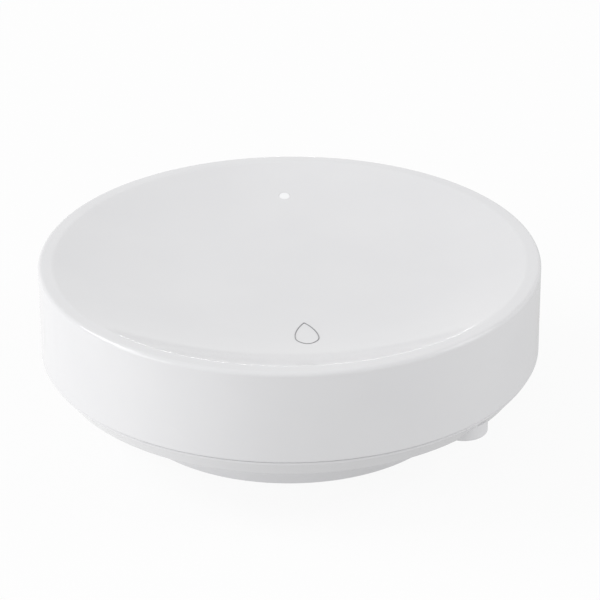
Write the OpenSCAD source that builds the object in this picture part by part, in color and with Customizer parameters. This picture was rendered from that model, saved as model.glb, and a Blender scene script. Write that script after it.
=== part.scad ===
// Round water leak sensor: a dished top shell, a lower case that turns off, and what they hold.
// Millimetres, +Z up. The origin is under the middle of the round foot, on the floor, and -Y is the front.

/* [Top shell] */
// Diameter of the side wall
case_d = 70; // [66:1:76]
// Height of the rim above the floor
case_h = 23.4; // [22.4:0.2:27]
// Thickness of the wall and of the dish
wall_t = 1.8; // [1.4:0.1:2.2]
// Rounding of the rim's outer edge
rim_round = 0.6; // [0.4:0.1:1.4]
// Width of the rim, from the side wall to the dish
rim_w = 1.95; // [1.7:0.05:3]
// Height of the side wall's lower edge above the floor
seam_z = 10.15; // [9.7:0.05:10.8]
// Bevel of the side wall's lower edge
seam_bevel = 0.15; // [0.1:0.05:0.4]

/* [Dish] */
// Radius of the gently curved middle of the dish
dish_middle_r = 15; // [8:0.5:20]
// Radius of curvature of that middle
dish_middle_arc = 300; // [200:10:600]
// Radius of curvature of the dish's side
dish_side_arc = 60; // [45:1:90]

/* [Lower case] */
// Open seam between the side wall and the lower case
seam_gap = 0.2; // [0.15:0.05:0.4]
// How far the band under the seam stands inside the side wall
band_inset = 0.35; // [0.1:0.05:0.8]
// Height of the band's upright land
band_land = 0.3; // [0.2:0.1:0.8]
// How far the sloped band runs inwards
band_run = 1.95; // [1:0.05:3]
// Height of the flat underside above the floor
under_z = 7.2; // [6.4:0.1:7.9]
// Thickness of the lower case behind the underside
base_t = 1.8; // [1.4:0.1:2.1]
// Diameter of the round foot
foot_d = 47; // [44:0.2:50]
// Thickness of the foot's wall
foot_wall_t = 1.8; // [1.2:0.1:2.4]
// Thickness of the foot's floor
foot_floor_t = 2; // [1.7:0.1:2.4]
// Rounding of the foot's lower edge
foot_round = 0.2; // [0.1:0.1:1]

/* [Turning lugs] */
// Diameter of each lug
lug_d = 6.7; // [4:0.1:8]
// How far a lug reaches below the underside
lug_drop = 0.5; // [0.2:0.05:2]
// How far a lug's outer side stands inside the band
lug_inset = 0.5; // [0.1:0.1:2]
// Rounding of a lug's lower edge
lug_round = 0.25; // [0.1:0.05:0.9]
// Direction of the lugs from +X
lug_angle = -40.5; // [-60:0.5:-30]

/* [Bayonet] */
// Number of hooks in the wall and of tabs on the lower case
hook_count = 3; // [2:1:4]
// Width of a hook round the wall, in degrees
hook_span = 20; // [14:1:22]
// Width of a tab round the spigot, in degrees
tab_span = 18; // [10:1:20]
// How far the lower case turns to open, in degrees
open_turn = 25; // [24:1:30]
// How far the hooks reach in from the wall
hook_reach = 1.8; // [1.2:0.1:2.2]
// Thickness of a hook and of a tab
hook_t = 1; // [0.8:0.1:1.4]
// Thickness of the spigot's wall
spigot_t = 1.6; // [1.2:0.1:2]
// Radial clearance of hooks and tabs
turn_gap = 0.3; // [0.2:0.05:0.4]
// Height of the tabs above the hooks
tab_gap = 0.2; // [0.1:0.05:0.4]

/* [Seals] */
// Section of the ring seal behind the seam
seal_d = 1.5; // [1:0.1:1.6]
// Clearance of that seal to the wall
seal_gap = 0.1; // [0.05:0.05:0.2]
// Section of the small seals under the stud heads
stud_seal_d = 0.45; // [0.3:0.05:0.5]

/* [Probe studs] */
// How far the studs stand out below the foot
stud_out = 0.4; // [0.2:0.1:0.8]
// Distance of each stud from the middle
stud_r = 17; // [15:0.5:17.5]
// Direction of the studs from +X and from -X
stud_angle = 40; // [30:1:48]
// Diameter of a stud's head
stud_head_d = 5; // [4.2:0.2:6]
// Thickness of a stud's head
stud_head_t = 0.9; // [0.7:0.1:1.2]
// Rounding of a stud's lower edge
stud_round = 0.2; // [0.1:0.05:0.4]
// Diameter of a stud's shank
stud_d = 2.4; // [2:0.1:2.8]
// Width of the contact strips
strip_w = 4; // [3:0.2:5]
// Thickness of strips and leaf springs
strip_t = 0.3; // [0.2:0.05:0.4]

/* [Board] */
// Thickness of the board
board_t = 1.2; // [0.8:0.1:1.6]
// Clearance round the board
board_gap = 0.5; // [0.3:0.1:1]
// Distance of the screws from the board's edge
screw_inset = 3; // [2.8:0.1:5]
// Diameter of the bosses that the board hangs from
boss_d = 5.4; // [4.6:0.2:5.6]
// Diameter of the board screws
screw_d = 2; // [1.6:0.1:2.6]
// Diameter of their heads
screw_head_d = 3.8; // [3.4:0.1:4.6]
// Length of the screws below their heads
screw_l = 5; // [4:0.5:5]

/* [Light] */
// Diameter of the light pipe where it shows in the dish
pipe_d = 1.5; // [1:0.1:2.5]
// Diameter of its collar
collar_d = 2.6; // [2.2:0.1:3.2]
// Thickness of its collar
collar_t = 0.8; // [0.5:0.1:1]
// Distance of the light pipe from the dish's edge
light_inset = 7.65; // [6:0.05:10]
// Direction of the light pipe from +X
light_angle = 91.6; // [80:0.1:100]

/* [Drop mark] */
// Half of the drop's width
drop_r = 1.65; // [1:0.05:3]
// Height of the drop's tip above its widest part
drop_tip = 5.2; // [3:0.1:8]
// Depth of the drop below its widest part
drop_low = 2.4; // [1.8:0.1:4]
// Rounding of the drop's lower end
drop_end_r = 0.9; // [0.5:0.05:1.4]
// Width of the drawn line
drop_line = 0.14; // [0.1:0.02:0.4]
// Thickness of the print
print_t = 0.05; // [0.03:0.01:0.1]
// Distance of the drop's widest part from the dish's edge
drop_inset = 14.7; // [8:0.05:18]
// Direction of the drop from +X
drop_angle = -82.5; // [-110:0.1:-70]
// Turn of the drop's tip from +Y
drop_turn = 5.4; // [-20:0.1:20]

/* [Sounder] */
// Diameter of the brass plate
piezo_d = 27; // [20:1:31]
// Diameter of the ceramic disc on it
ceramic_d = 20; // [12:1:22]
// Thickness of the plate and of the disc
piezo_t = 0.25; // [0.15:0.05:0.4]

/* [Battery] */
// Diameter of the coin cell
cell_d = 24.5; // [20:0.5:27]
// Height of the coin cell
cell_h = 7.7; // [5:0.1:8]
// Thickness of the holder's wall
holder_t = 1.5; // [1.2:0.1:1.8]
// Clearance between cell and holder
cell_gap = 0.2; // [0.1:0.05:0.3]
// Height of the spring between board and cell
minus_h = 0.8; // [0.7:0.05:1]
// Thickness of the foam pad below the cell
pad_t = 1.6; // [0.8:0.1:2]
// Clearance between the cell and that pad
pad_gap = 0.3; // [0.1:0.1:0.6]
// Diameter of the pad
pad_d = 18; // [12:1:20]

/* [Pairing button] */
// Side of the switch body
switch_w = 5.2; // [4.6:0.2:6]
// Height of the switch body
switch_h = 1.4; // [1.2:0.1:1.8]
// Diameter of the plunger
plunger_d = 2.6; // [2:0.1:3]
// Diameter of the cap
cap_d = 4; // [3.4:0.2:5]
// Height of the cap
cap_h = 0.8; // [0.6:0.1:1.2]
// Travel of the button
press = 0.3; // [0.2:0.05:0.4]
// Direction of the button from +X
switch_angle = 236; // [216:1:250]

/* [Hidden] */
$fn = 96;

// Overlap of a cutting shape past the face that it cuts
past = 1;
// Clearance of a fixed part in its seat
seat_gap = 0.05;
// Clearance of a part that slides or is pushed in
slide_gap = 0.1;

// Case
case_r = case_d / 2;
wall_in_r = case_r - wall_t;
dish_edge_r = case_r - rim_w;

// Dish: two arcs that meet smoothly, from the middle to the rim
middle_slope = asin(dish_middle_r / dish_middle_arc);
side_x = dish_middle_r - dish_side_arc * sin(middle_slope);
edge_slope = asin((dish_edge_r - side_x) / dish_side_arc);
side_z = case_h + dish_side_arc * cos(edge_slope);
middle_z = side_z + (dish_middle_arc - dish_side_arc) * cos(middle_slope);
dish_low_z = middle_z - dish_middle_arc;

// Lower case
band_r = case_r - band_inset;
band_low_r = band_r - band_run;
band_top = seam_z - seam_gap;
base_top = under_z + base_t;
foot_z = stud_out;
floor_top = foot_z + foot_floor_t;
foot_r = foot_d / 2;
foot_in_r = foot_r - foot_wall_t;
lug_x = band_r - lug_inset - lug_d / 2;
lug_z = under_z - lug_drop;

// Bayonet and ring seal
seal_r = wall_in_r - seal_gap - seal_d / 2;
seal_seat_r = seal_r - seal_d / 2 - seat_gap;
seal_top = band_top + seal_d + 2 * seat_gap;
hook_in_r = wall_in_r - hook_reach;
hook_z = seal_top + turn_gap;
spigot_r = hook_in_r - turn_gap;
spigot_in_r = spigot_r - spigot_t;
tab_r = wall_in_r - turn_gap;
tab_z = hook_z + hook_t + tab_gap;
tab_top = tab_z + hook_t;
hook_pitch = 360 / hook_count;
stop_span = 2;
stop_gap = 0.3;

// Battery, from the foot's floor up
cell_z = floor_top + pad_t + pad_gap;
cell_top = cell_z + cell_h;
cell_cap_t = 0.4;
cell_rim_w = 1.5;
cell_cap_d = cell_d - 2 * cell_rim_w;
holder_r = cell_d / 2 + cell_gap + holder_t;
holder_lift = 1.1;
holder_z = cell_z + holder_lift;
holder_ledge = 3;
holder_hole_d = cell_cap_d - 2 * holder_ledge;
finger_w = 12;
contact_tab = 2;
minus_arm = 6;

// Board above the battery, its screws and the light
board_z = cell_top + minus_h;
board_top = board_z + board_t;
board_r = spigot_in_r - board_gap;
screw_r = board_r - screw_inset;
screw_angles = [30, 150, 270];
screw_head_t = 1.4;
screw_slot_w = 0.6;
screw_slot_t = 0.7;
screw_hole_d = screw_d + 2 * seat_gap;
light_r = dish_edge_r - light_inset;
led_size = [1.6, 0.8, 0.6];
led_gap = 0.3;
pipe_z = board_top + led_size.z + led_gap;
guide_t = 1;
guide_d = pipe_d + 2 * seat_gap + 2 * guide_t;
guide_lift = 1.2;
guide_z = pipe_z + guide_lift;

// Drop mark: a round end, two sides that bulge from it and two longer arcs that close in a tip
drop_arc = (drop_tip * drop_tip + drop_r * drop_r) / (2 * drop_r);
drop_end_y = drop_low - drop_end_r;
drop_end_sq = drop_end_y * drop_end_y - drop_end_r * drop_end_r;
drop_side = (drop_r * drop_r + drop_end_sq) / (2 * (drop_r - drop_end_r));
drop_meet = drop_end_y / (drop_side - drop_end_r);
drop_dist = dish_edge_r - drop_inset;

// Sounder under the dish
piezo_seat_z = dish_low_z - wall_t - slide_gap;
piezo_rim_t = 1;
piezo_rim_h = 0.8;
ceramic_z = piezo_seat_z - 2 * piezo_t;
piezo_spring_l = 3;
piezo_spring_w = 2;

// Pairing button under the board
switch_edge = 1.2;
switch_r = board_r - switch_w / 2 - switch_edge;
switch_z = board_z - switch_h;
plunger_in = 0.4;
plunger_out = press + plunger_in;
switch_bore = press + plunger_in + 2 * slide_gap;
cap_top = switch_z - press - slide_gap;

// Probe contacts
stud_x = stud_r * cos(stud_angle);
stud_y = stud_r * sin(stud_angle);
stud_recess_top = stud_head_t + stud_seal_d + seat_gap;
stud_side_gap = 0.3;
stud_recess_d = stud_head_d + 2 * stud_side_gap;
rivet_t = 0.5;
rivet_lip = 0.6;
rivet_d = stud_d + 2 * rivet_lip;
strip_leg_x = sqrt(foot_in_r * foot_in_r - strip_w * strip_w / 4) - slide_gap - strip_t;
strip_edge = 1.5;
strip_end_x = spigot_in_r - strip_edge;
strip_half_l = stud_y + rivet_d / 2 + rivet_lip;
probe_spring_x = (strip_leg_x + strip_end_x) / 2;
probe_spring_w = 2.5;
probe_spring_l = 2;

// Height of the dish's surface at a distance from the middle
function dish_z(r) = r < dish_middle_r
    ? middle_z - sqrt(dish_middle_arc * dish_middle_arc - r * r)
    : side_z - sqrt(dish_side_arc * dish_side_arc - (r - side_x) * (r - side_x));

// Outline of the space above the dish, with its surface moved down by some thickness
module dish_outline(down, reach) {
    split = dish_middle_r * (dish_middle_arc + down) / dish_middle_arc;
    low = dish_low_z - down - past;
    high = case_h - low + past;
    intersection() {
        translate([0, middle_z]) circle(dish_middle_arc + down);
        translate([0, low]) square([split, high]);
    }
    intersection() {
        translate([side_x, side_z]) circle(dish_side_arc + down);
        translate([split, low]) square([reach - split, high]);
    }
}

// What rounds off an outer corner of an outline, for a corner that points to +X and -Y
module corner_waste(r) {
    difference() {
        translate([0, -r - past]) square([r + past, r + past]);
        circle(r);
    }
}

// A piece of a ring, centred on an angle
module ring_piece(r_in, r_out, z, h, angle, span) {
    rotate([0, 0, angle - span / 2])
        rotate_extrude(angle = span)
            translate([r_in, z]) square([r_out - r_in, h]);
}

// A leaf spring bent into a C, standing on z = 0, open towards +X and centred on its upper arm
module leaf_spring(h, arm, w) {
    translate([-arm / 2, w / 2, h / 2])
        rotate([90, 0, 0])
            linear_extrude(w) {
                difference() {
                    circle(h / 2);
                    circle(h / 2 - strip_t);
                    translate([0, -h]) square([h, 2 * h]);
                }
                translate([0, -h / 2]) square([arm, strip_t]);
                translate([0, h / 2 - strip_t]) square([arm, strip_t]);
            }
}

module round_at(r, angle, z) {
    rotate([0, 0, angle]) translate([r, 0, z]) children();
}

// Side wall, rim and dish in one moulding, with the board bosses and bayonet hooks inside
module shell_blank() {
    difference() {
        rotate_extrude()
            difference() {
                translate([0, seam_z]) square([case_r, case_h - seam_z]);
                translate([case_r - rim_round, case_h - rim_round])
                    mirror([0, 1]) corner_waste(rim_round);
                translate([case_r, seam_z])
                    rotate(45) square(seam_bevel * sqrt(2), center = true);
            }
        rotate_extrude()
            difference() {
                translate([0, seam_z - past]) square([wall_in_r, case_h - seam_z]);
                dish_outline(wall_t, wall_in_r + past);
            }
    }
}

module bayonet_hooks() {
    stop_in_r = hook_in_r + seat_gap;
    stop_out_r = wall_in_r + 2 * seat_gap;
    stop_z = hook_z + hook_t / 2;
    stop_turn = tab_span / 2 + stop_span / 2 + stop_gap;
    for (i = [0 : hook_count - 1]) {
        a = i * hook_pitch;
        ring_piece(hook_in_r, wall_in_r + seat_gap, hook_z, hook_t, a, hook_span);
        ring_piece(stop_in_r, stop_out_r, stop_z, tab_top - stop_z, a + stop_turn, stop_span);
        ring_piece(stop_in_r, stop_out_r, stop_z, tab_top - stop_z, a - stop_turn - open_turn, stop_span);
    }
}

module piezo_seat() {
    seat_r = piezo_d / 2 + slide_gap;
    low = piezo_seat_z - piezo_rim_h;
    difference() {
        translate([0, 0, low]) cylinder(r = seat_r + piezo_rim_t, h = case_h - low);
        translate([0, 0, low - past]) cylinder(r = seat_r, h = piezo_rim_h + past);
    }
}

module top_shell() {
    color("white")
    difference() {
        union() {
            shell_blank();
            bayonet_hooks();
            piezo_seat();
            for (a = screw_angles)
                round_at(screw_r, a, board_top) cylinder(d = boss_d, h = case_h - board_top);
            round_at(light_r, light_angle, guide_z) cylinder(d = guide_d, h = case_h - guide_z);
        }
        rotate_extrude() dish_outline(0, dish_edge_r + past);
        for (a = screw_angles)
            round_at(screw_r, a, board_top - past)
                cylinder(d = screw_hole_d, h = screw_l - board_t + slide_gap + past);
        round_at(light_r, light_angle, guide_z - past)
            cylinder(d = pipe_d + 2 * seat_gap, h = case_h - guide_z + 2 * past);
    }
}

// Clear rod from the board to the dish, cut flush with the dish, with its collar under the guide
module light_pipe() {
    color("ghostwhite")
    difference() {
        round_at(light_r, light_angle, pipe_z) {
            cylinder(d = pipe_d, h = case_h - pipe_z);
            translate([0, 0, guide_lift - seat_gap - collar_t]) cylinder(d = collar_d, h = collar_t);
        }
        rotate_extrude() dish_outline(0, dish_edge_r + past);
    }
}

// Two arcs that face each other across the drop, between two heights
module drop_sides(arc, inset, low, high) {
    intersection() {
        translate([arc - drop_r, 0]) circle(arc - inset);
        translate([drop_r - arc, 0]) circle(arc - inset);
        translate([-drop_r, low]) square([2 * drop_r, high - low]);
    }
}

// Outline of a drop with its tip towards +Y, drawn in by some width
module drop_outline(inset) {
    translate([0, -drop_end_y]) circle(drop_end_r - inset);
    drop_sides(drop_side, inset, -(drop_side - inset) * drop_meet, 0);
    drop_sides(drop_arc, inset, 0, drop_tip);
}

// Thin printed line on the dish
module drop_mark() {
    color("gray")
    intersection() {
        rotate_extrude()
            difference() {
                dish_outline(0, dish_edge_r);
                dish_outline(-print_t, dish_edge_r);
            }
        round_at(drop_dist, drop_angle, dish_low_z - past)
            rotate([0, 0, drop_turn - drop_angle])
                linear_extrude(case_h - dish_low_z + past)
                    difference() {
                        drop_outline(0);
                        drop_outline(drop_line);
                    }
    }
}

// Round circuit board, hung under the dish by three screws
module main_board() {
    color("darkgreen")
    difference() {
        translate([0, 0, board_z]) cylinder(r = board_r, h = board_t);
        for (a = screw_angles)
            round_at(screw_r, a, board_z - past) cylinder(d = screw_hole_d, h = board_t + 2 * past);
    }
}

module board_screws() {
    color("silver")
    for (a = screw_angles)
        round_at(screw_r, a, board_z)
            difference() {
                union() {
                    cylinder(d = screw_d, h = screw_l);
                    translate([0, 0, -screw_head_t]) cylinder(d = screw_head_d, h = screw_head_t);
                }
                for (turn = [0, 90])
                    rotate([0, 0, turn])
                        translate([-screw_head_d / 4, -screw_slot_w / 2, -screw_head_t - past])
                            cube([screw_head_d / 2, screw_slot_w, screw_slot_t + past]);
            }
}

// Chips on both faces of the board, each given by its place and size
upper_chips = [[15, -11, 5, 5, 0.9], [7, -19, 3, 3, 1], [16, 8, 4, 3, 1.2], [-8, 17, 2.5, 2, 1]];
lower_chips = [[-17, 8, 4, 4, 1], [17, 9, 3, 2.5, 0.8], [-16, -11, 3, 3, 1]];

module board_chips() {
    color("dimgray") {
        for (c = upper_chips)
            translate([c[0] - c[2] / 2, c[1] - c[3] / 2, board_top]) cube([c[2], c[3], c[4]]);
        for (c = lower_chips)
            translate([c[0] - c[2] / 2, c[1] - c[3] / 2, board_z - c[4]]) cube([c[2], c[3], c[4]]);
    }
}

// Radio on a small board of its own, under a pressed metal can
radio_size = [10, 12, 0.6];
radio_edge = 3.5;
radio_at = [-board_r + radio_size.x / 2 + radio_edge, -radio_size.y / 2];
can_size = [8.4, 8.4, 1];
can_edge = 0.8;
can_at = [radio_at.x, -radio_size.y + can_edge + can_size.y / 2];
can_t = 0.2;

module radio_board() {
    color("darkgreen")
    translate([radio_at.x - radio_size.x / 2, radio_at.y - radio_size.y / 2, board_top]) cube(radio_size);
}

module radio_shield() {
    color("silver")
    translate([can_at.x - can_size.x / 2, can_at.y - can_size.y / 2, board_top + radio_size.z])
        difference() {
            cube(can_size);
            translate([can_t, can_t, -past])
                cube([can_size.x - 2 * can_t, can_size.y - 2 * can_t, can_size.z - can_t + past]);
        }
}

module status_led() {
    color("ivory")
    round_at(light_r, light_angle, board_top)
        translate([-led_size.x / 2, -led_size.y / 2, 0]) cube(led_size);
}

// Sounder: a brass plate glued under the dish, with a ceramic disc on it
module piezo_plate() {
    color("goldenrod")
    translate([0, 0, piezo_seat_z - piezo_t]) cylinder(d = piezo_d, h = piezo_t);
}

module piezo_ceramic() {
    color("gainsboro")
    translate([0, 0, ceramic_z]) cylinder(d = ceramic_d, h = piezo_t);
}

// Z-bent fingers from the board up to the sounder
module bent_finger(h) {
    translate([0, piezo_spring_w / 2, board_top])
        rotate([90, 0, 0])
            linear_extrude(piezo_spring_w) {
                square([piezo_spring_l / 2, strip_t]);
                translate([-strip_t / 2, 0]) square([strip_t, h]);
                translate([-piezo_spring_l / 2, h - strip_t]) square([piezo_spring_l / 2, strip_t]);
            }
}

module piezo_springs() {
    plate_x = (piezo_d + ceramic_d) / 4;
    disc_x = ceramic_d / 4;
    color("silver") {
        translate([plate_x, 0, 0]) bent_finger(piezo_seat_z - piezo_t - seat_gap - board_top);
        translate([-disc_x, 0, 0]) bent_finger(ceramic_z - seat_gap - board_top);
    }
}

// Coin cell with its smaller minus cap towards the board
module coin_cell() {
    color("silver") {
        translate([0, 0, cell_z]) cylinder(d = cell_d, h = cell_h - cell_cap_t);
        translate([0, 0, cell_top - cell_cap_t]) cylinder(d = cell_cap_d, h = cell_cap_t);
    }
}

// Plastic ring under the board that the coin cell is pushed into
module battery_holder() {
    contact_slot = strip_w + 4 * slide_gap;
    color("black")
    difference() {
        translate([0, 0, holder_z]) cylinder(r = holder_r, h = board_z - holder_z);
        translate([0, 0, holder_z - past])
            cylinder(d = cell_d + 2 * cell_gap, h = cell_top + seat_gap - holder_z + past);
        translate([0, 0, holder_z]) cylinder(d = holder_hole_d, h = board_z - holder_z + past);
        translate([0, -contact_slot / 2, holder_z - past])
            cube([holder_r + past, contact_slot, board_z - holder_z + 2 * past]);
        translate([-holder_r - past, -finger_w / 2, holder_z - past])
            cube([holder_r, finger_w, cell_h / 2]);
    }
}

// Spring strip beside the cell, soldered under the board
module positive_contact() {
    x = cell_d / 2 + seat_gap;
    color("gold")
    translate([0, strip_w / 2, 0])
        rotate([90, 0, 0])
            linear_extrude(strip_w) {
                translate([x, holder_z]) square([strip_t, board_z - holder_z]);
                translate([x, board_z - strip_t]) square([holder_t + contact_tab, strip_t]);
            }
}

// Flat spring between the board and the cell's minus cap
module negative_contact() {
    color("gold")
    translate([0, 0, board_z - minus_h + seat_gap]) leaf_spring(minus_h - seat_gap, minus_arm, strip_w);
}

// Springs under the board that meet the contact strips while the lower case is closed
module probe_springs() {
    color("gold")
    for (turn = [0, 180])
        rotate([0, 0, turn])
            translate([probe_spring_x, 0, base_top + strip_t + seat_gap])
                leaf_spring(board_z - base_top - strip_t - seat_gap, probe_spring_l, probe_spring_w);
}

// Pairing button near the board's edge: a switch body under the board, its plunger and a cap
module tact_switch() {
    color("dimgray")
    round_at(switch_r, switch_angle, switch_z)
        difference() {
            translate([-switch_w / 2, -switch_w / 2, 0]) cube([switch_w, switch_w, switch_h]);
            translate([0, 0, -past]) cylinder(d = plunger_d + 2 * slide_gap, h = switch_bore + past);
        }
}

module switch_plunger() {
    color("black")
    round_at(switch_r, switch_angle, switch_z - plunger_out)
        cylinder(d = plunger_d, h = plunger_out + plunger_in);
}

module switch_cap() {
    color("white")
    round_at(switch_r, switch_angle, cap_top - cap_h)
        difference() {
            cylinder(d = cap_d, h = cap_h);
            translate([0, 0, switch_z - plunger_out - cap_top + cap_h])
                cylinder(d = plunger_d + 2 * seat_gap, h = cap_h);
        }
}

// Band, underside, foot and spigot in one turned outline
module lower_outline() {
    difference() {
        polygon([
            [0, foot_z], [foot_r, foot_z], [foot_r, under_z], [band_low_r, under_z],
            [band_r, band_top - band_land], [band_r, band_top],
            [seal_seat_r, band_top], [seal_seat_r, seal_top], [spigot_r, seal_top],
            [spigot_r, tab_top], [spigot_in_r, tab_top], [spigot_in_r, base_top],
            [foot_in_r, base_top], [foot_in_r, floor_top], [0, floor_top]
        ]);
        translate([foot_r - foot_round, foot_z + foot_round]) corner_waste(foot_round);
    }
}

module turning_lug() {
    rotate_extrude()
        difference() {
            square([lug_d / 2, base_top - lug_z]);
            translate([lug_d / 2 - lug_round, lug_round]) corner_waste(lug_round);
        }
}

// Two studs on each side of the middle
module at_studs() {
    for (x = [-stud_x, stud_x])
        for (y = [-stud_y, stud_y])
            translate([x, y, 0]) children();
}

// Lower moulding: it carries the studs that it stands on, and turns off to reach the battery
module lower_case() {
    color("white")
    difference() {
        union() {
            rotate_extrude() lower_outline();
            for (turn = [0, 180])
                round_at(lug_x, lug_angle + turn, lug_z) turning_lug();
            for (i = [0 : hook_count - 1])
                ring_piece(spigot_r - seat_gap, tab_r, tab_z, hook_t, i * hook_pitch, tab_span);
        }
        at_studs() {
            cylinder(d = stud_recess_d, h = stud_recess_top);
            cylinder(d = stud_d + 2 * seat_gap, h = floor_top + past);
        }
    }
}

module case_seal() {
    color("lightgray")
    rotate_extrude() translate([seal_r, band_top + seal_d / 2 + seat_gap]) circle(d = seal_d);
}

// Stainless studs, riveted through the foot's floor, that the sensor stands on
module probe_studs() {
    rivet_z = floor_top + strip_t;
    color("silver")
    at_studs() {
        rotate_extrude()
            difference() {
                square([stud_head_d / 2, stud_head_t]);
                translate([stud_head_d / 2 - stud_round, stud_round]) corner_waste(stud_round);
            }
        translate([0, 0, stud_head_t / 2]) cylinder(d = stud_d, h = rivet_z - stud_head_t / 2);
        translate([0, 0, rivet_z]) cylinder(d = rivet_d, h = rivet_t);
    }
}

module stud_seals() {
    color("black")
    at_studs()
        translate([0, 0, stud_head_t + stud_seal_d / 2])
            rotate_extrude()
                translate([stud_d / 2 + seat_gap + stud_seal_d / 2, 0]) circle(d = stud_seal_d);
}

// Strips that join the studs of each side and rise to a pad on the lower case
module probe_strips() {
    color("silver")
    for (turn = [0, 180])
        rotate([0, 0, turn])
            difference() {
                union() {
                    translate([stud_x - strip_w / 2, -strip_half_l, floor_top])
                        cube([strip_w, 2 * strip_half_l, strip_t]);
                    translate([0, strip_w / 2, 0])
                        rotate([90, 0, 0])
                            linear_extrude(strip_w) {
                                translate([stud_x, floor_top])
                                    square([strip_leg_x + strip_t - stud_x, strip_t]);
                                translate([strip_leg_x, floor_top])
                                    square([strip_t, base_top + strip_t - floor_top]);
                                translate([strip_leg_x, base_top])
                                    square([strip_end_x - strip_leg_x, strip_t]);
                            }
                }
                for (y = [-stud_y, stud_y])
                    translate([stud_x, y, floor_top - past])
                        cylinder(d = stud_d + 2 * seat_gap, h = strip_t + 2 * past);
            }
}

// Foam disc on the foot's floor that keeps the cell from rattling
module battery_pad() {
    color("darkslategray")
    translate([0, 0, floor_top]) cylinder(d = pad_d, h = pad_t);
}

top_shell();
light_pipe();
drop_mark();
main_board();
board_screws();
board_chips();
radio_board();
radio_shield();
status_led();
piezo_plate();
piezo_ceramic();
piezo_springs();
coin_cell();
battery_holder();
positive_contact();
negative_contact();
probe_springs();
tact_switch();
switch_plunger();
switch_cap();
lower_case();
case_seal();
probe_studs();
stud_seals();
probe_strips();
battery_pad();
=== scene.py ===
from math import asin, atan2, cos, hypot, pi, radians, sin, sqrt, tan, tau

import bmesh
import bpy
from mathutils import Matrix, Vector


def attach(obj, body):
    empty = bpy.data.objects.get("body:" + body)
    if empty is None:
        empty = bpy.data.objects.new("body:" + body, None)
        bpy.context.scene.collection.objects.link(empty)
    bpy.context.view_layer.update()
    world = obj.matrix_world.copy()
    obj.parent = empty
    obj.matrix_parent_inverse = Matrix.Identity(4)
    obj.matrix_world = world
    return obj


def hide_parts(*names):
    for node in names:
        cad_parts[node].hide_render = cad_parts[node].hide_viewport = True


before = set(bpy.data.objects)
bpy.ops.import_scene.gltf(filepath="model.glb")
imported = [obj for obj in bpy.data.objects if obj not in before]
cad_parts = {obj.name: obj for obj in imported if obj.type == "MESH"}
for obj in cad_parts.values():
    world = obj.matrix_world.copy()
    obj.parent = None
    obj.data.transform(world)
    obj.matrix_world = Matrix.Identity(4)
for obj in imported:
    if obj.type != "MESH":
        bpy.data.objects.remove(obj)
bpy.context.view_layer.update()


# Top shell
# One moulding in white satin plastic: the side wall, a narrow rim and a shallow dish on top.
# Screw bosses, bayonet hooks, the sounder's seat and the light guide are moulded inside it.
mm = 0.001
case_r, case_h, wall, wall_middle = 35.0, 23.4, 1.8, 16.5
seam_z, seam_round, rim_round, lip = 10.15, 0.15, 0.6, 1.6
dish_r, middle_r, middle_arc, side_arc = 32.95, 15.0, 300.0, 60.0
board_top, plate_r = 14.0, 13.5
boss_ring, boss_r, boss_high, pilot_r, pilot_high, pilot_edge = 26.0, 2.7, 20.5, 1.05, 17.9, 0.25
hook_r, hook_low, hook_high, hook_span = 31.4, 11.85, 12.85, 20
stop_r, stop_low, stop_high, stop_span, stops_beside = 31.45, 12.35, 14.05, 2, (10.3, -35.3)
light_at, pipe_r, pipe_gap = (-0.709, 25.39), 0.78, 0.02
guide_r, guide_low, guide_high, hole_low, hole_high = 1.8, 16.1, 20.3, 15.0, 24.0
seat_gap, seat_wall, seat_down, seat_up = 0.1, 1.0, 0.8, 1.5
sharp_edge = radians(32)

wall_in, rim_out = case_r - wall, case_r - rim_round
hook_root, stop_root = wall_in + 0.05, wall_in + 0.1
middle_slope = asin(middle_r / middle_arc)
side_x = middle_r - side_arc * sin(middle_slope)
edge_slope = asin((dish_r - side_x) / side_arc)
side_z = case_h + side_arc * cos(edge_slope)
middle_z = side_z + (middle_arc - side_arc) * cos(middle_slope)
dish_low = middle_z - middle_arc
lip_half = lip * tan(edge_slope / 2)
under_slope = asin((wall_in - side_x) / (side_arc + wall))
seat, seat_r = dish_low - wall - seat_gap, plate_r + seat_gap


def dish_height(r):
    """Height of the dish's surface at a distance from the middle."""
    if r < middle_r:
        return middle_z - sqrt(middle_arc ** 2 - r ** 2)
    return side_z - sqrt(side_arc ** 2 - (r - side_x) ** 2)


def around(r, degrees):
    """A place given as its distance from the middle and its angle."""
    return r * cos(radians(degrees)), r * sin(radians(degrees))


def corner(r, z, *steps):
    """Points of an outline near a corner, each given as its step from the corner."""
    return [(r + across, z + rise) for across, rise in steps]


def draw_on(bm, tip, *points):
    """Carries an outline on from its last vertex, through points given as distance and height."""
    for r, z in points:
        new = bm.verts.new((r, 0, z))
        if tip:
            bm.edges.new((tip, new))
        tip = new
    return tip


def arc_on(bm, tip, centre, turn, steps):
    """Carries an outline on along an arc, anticlockwise as seen from the front."""
    swept = bmesh.ops.spin(bm, geom=[tip], cent=(centre[0], 0, centre[1]), axis=(0, -1, 0),
                           angle=turn, steps=steps)
    return next(v for v in swept["geom_last"] if isinstance(v, bmesh.types.BMVert))


def close_up(bm):
    """Merges what meets, and points all faces outwards."""
    bmesh.ops.remove_doubles(bm, verts=bm.verts, dist=0.0005)
    bmesh.ops.recalc_face_normals(bm, faces=bm.faces)


def turn_round(bm, steps=256, span=tau):
    """Turns an outline about the upright axis; a part turn gets its two ends filled."""
    full = span == tau
    bmesh.ops.spin(bm, geom=bm.verts[:] + bm.edges[:], cent=(0, 0, 0), axis=(0, 0, 1),
                   angle=span, steps=steps, use_merge=full)
    if not full:
        bmesh.ops.holes_fill(bm, edges=[e for e in bm.edges if e.is_boundary], sides=0)
    close_up(bm)


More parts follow.
